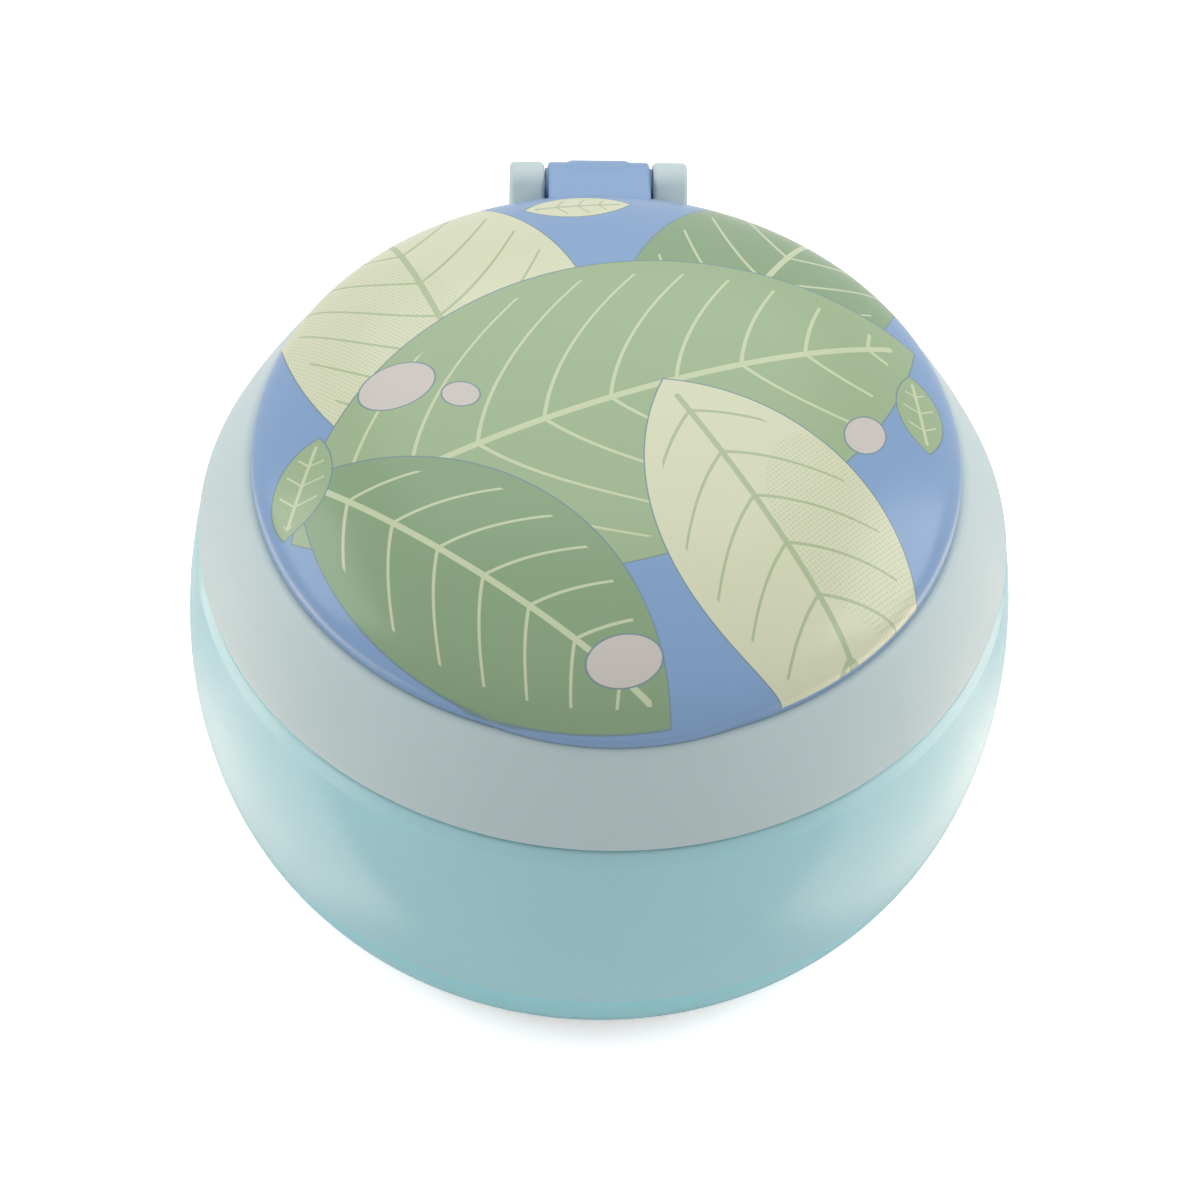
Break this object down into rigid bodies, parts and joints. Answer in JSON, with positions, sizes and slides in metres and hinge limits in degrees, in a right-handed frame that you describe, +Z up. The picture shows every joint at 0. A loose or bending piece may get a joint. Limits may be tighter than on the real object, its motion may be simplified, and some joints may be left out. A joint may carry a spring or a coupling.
{
  "type": "toddler snack container",
  "caption": "Round snack cup with a bulging bowl, a screw-on collar, a soft star of flaps in its mouth and a domed lid on a pin hinge.",
  "frame": {"origin": "centre of the foot, on the surface that the cup stands on", "axes": "+Z up; +Y towards the lid's hinge; the lid opens from the -Y side; +X to the right seen from the front"},
  "size_m": [0.1, 0.1, 0.0703],
  "materials": {
    "bowl_plastic": "tinted, slightly translucent polypropylene, glossy",
    "collar_plastic": "satin moulded polypropylene",
    "lid_plastic": "glossy moulded polypropylene",
    "print_film": null,
    "soft_flaps": "soft matt thermoplastic rubber",
    "pin_steel": "drawn stainless wire"
  },
  "bodies": {
    "cup": {"cup": "bowl_plastic"},
    "soft_ring": {"flap_ring": "soft_flaps"},
    "collar": {"collar": "collar_plastic", "hinge_pin": "pin_steel"},
    "lid": {"lid": "lid_plastic", "lid_film": "print_film"},
    "flap_1": {"flap_1": "soft_flaps"},
    "flap_2": {"flap_2": "soft_flaps"},
    "flap_3": {"flap_3": "soft_flaps"},
    "flap_4": {"flap_4": "soft_flaps"},
    "flap_5": {"flap_5": "soft_flaps"},
    "flap_6": {"flap_6": "soft_flaps"},
    "flap_7": {"flap_7": "soft_flaps"},
    "flap_8": {"flap_8": "soft_flaps"}
  },
  "joints": [
    {"name": "collar_lift", "type": "slide", "parent": "cup", "child": "soft_ring", "axis": [0, 0, 1], "range_m": [0, 0.024]},
    {"name": "collar_turn", "type": "hinge", "parent": "soft_ring", "child": "collar", "pos_m": [0, 0, 0.05], "axis": [0, 0, 1], "range_deg": [0, 720]},
    {"name": "lid_hinge", "type": "hinge", "parent": "collar", "child": "lid", "pos_m": [0, 0.0465, 0.056], "axis": [-1, 0, 0], "range_deg": [0, 130]},
    {"name": "flap_1_bend", "type": "hinge", "parent": "soft_ring", "child": "flap_1", "pos_m": [0.027, 0, 0.0565], "axis": [0, -1, 0], "range_deg": [-20, 70], "stiffness_Nm_per_rad": 0.002},
    {"name": "flap_2_bend", "type": "hinge", "parent": "soft_ring", "child": "flap_2", "pos_m": [0.01909, 0.01909, 0.0565], "axis": [0.7071, -0.7071, 0], "range_deg": [-20, 70], "stiffness_Nm_per_rad": 0.002},
    {"name": "flap_3_bend", "type": "hinge", "parent": "soft_ring", "child": "flap_3", "pos_m": [0, 0.027, 0.0565], "axis": [1, 0, 0], "range_deg": [-20, 70], "stiffness_Nm_per_rad": 0.002},
    {"name": "flap_4_bend", "type": "hinge", "parent": "soft_ring", "child": "flap_4", "pos_m": [-0.01909, 0.01909, 0.0565], "axis": [0.7071, 0.7071, 0], "range_deg": [-20, 70], "stiffness_Nm_per_rad": 0.002},
    {"name": "flap_5_bend", "type": "hinge", "parent": "soft_ring", "child": "flap_5", "pos_m": [-0.027, 0, 0.0565], "axis": [0, 1, 0], "range_deg": [-20, 70], "stiffness_Nm_per_rad": 0.002},
    {"name": "flap_6_bend", "type": "hinge", "parent": "soft_ring", "child": "flap_6", "pos_m": [-0.01909, -0.01909, 0.0565], "axis": [-0.7071, 0.7071, 0], "range_deg": [-20, 70], "stiffness_Nm_per_rad": 0.002},
    {"name": "flap_7_bend", "type": "hinge", "parent": "soft_ring", "child": "flap_7", "pos_m": [0, -0.027, 0.0565], "axis": [-1, 0, 0], "range_deg": [-20, 70], "stiffness_Nm_per_rad": 0.002},
    {"name": "flap_8_bend", "type": "hinge", "parent": "soft_ring", "child": "flap_8", "pos_m": [0.01909, -0.01909, 0.0565], "axis": [-0.7071, -0.7071, 0], "range_deg": [-20, 70], "stiffness_Nm_per_rad": 0.002}
  ],
  "couplings": [
    {"joint": "collar_lift", "follows": "collar_turn", "m_per_rad": 0.0019098}
  ]
}
